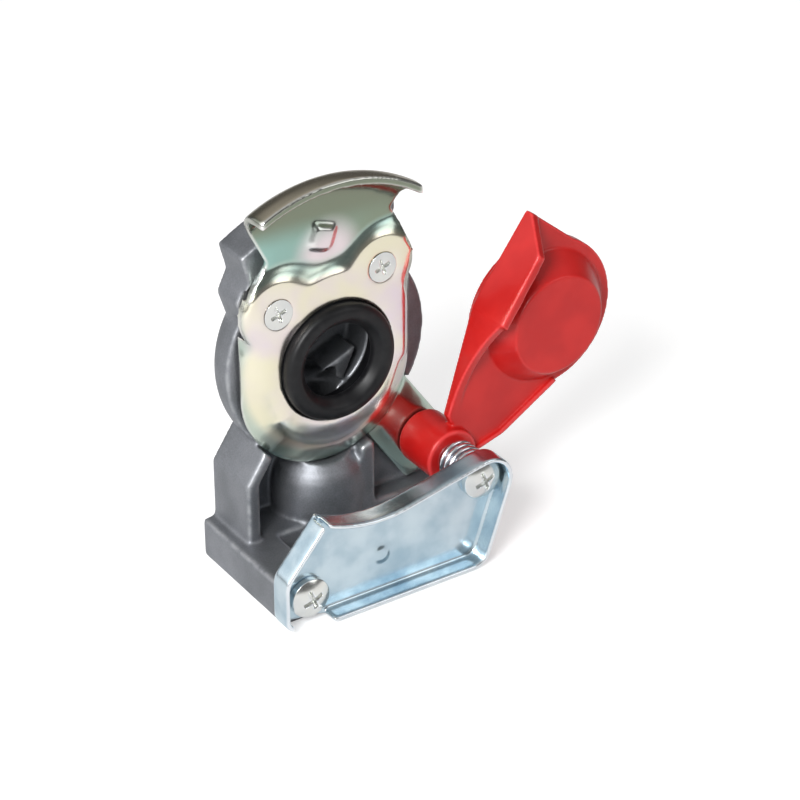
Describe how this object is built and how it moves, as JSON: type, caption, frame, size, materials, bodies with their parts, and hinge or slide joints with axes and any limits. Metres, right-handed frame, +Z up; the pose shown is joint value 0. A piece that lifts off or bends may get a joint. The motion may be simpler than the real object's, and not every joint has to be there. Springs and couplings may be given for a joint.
{
  "type": "air brake coupling head",
  "caption": "Palm type trailer air coupling head: cast chamber with a threaded port, rubber seal, pressed claw plate, guide bracket and a swinging dust lid.",
  "frame": {"origin": "centre of the threaded port's mouth on the underside of the base", "axes": "+Z up the neck, out of the base's underside is -Z, -Y is the way the coupling face and seal look, +X to the right seen from the front"},
  "size_m": [0.1278, 0.053, 0.1308],
  "materials": {
    "cast_aluminium": "matte as cast",
    "seal_rubber": "semi gloss",
    "yellow_zinc": "iridescent zinc plate",
    "screw_zinc": "zinc plate",
    "bright_zinc": "blue bright zinc plate",
    "bright_steel": "bright",
    "red_lid": "gloss"
  },
  "bodies": {
    "head": {"body_casting": "cast_aluminium", "seal_ring": "seal_rubber", "face_plate": "yellow_zinc", "plate_screws": "screw_zinc", "guide_bracket": "bright_zinc", "bracket_screw": "screw_zinc", "pivot_screw": "screw_zinc", "pivot_sleeve": "bright_steel", "lid_spring": "bright_steel"},
    "lid": {"lid": "red_lid"}
  },
  "joints": [
    {"name": "lid_pivot", "type": "hinge", "parent": "head", "child": "lid", "pos_m": [0.03254, 0, 0.0283], "axis": [0, -1, 0], "range_deg": [0, 83.8]}
  ]
}
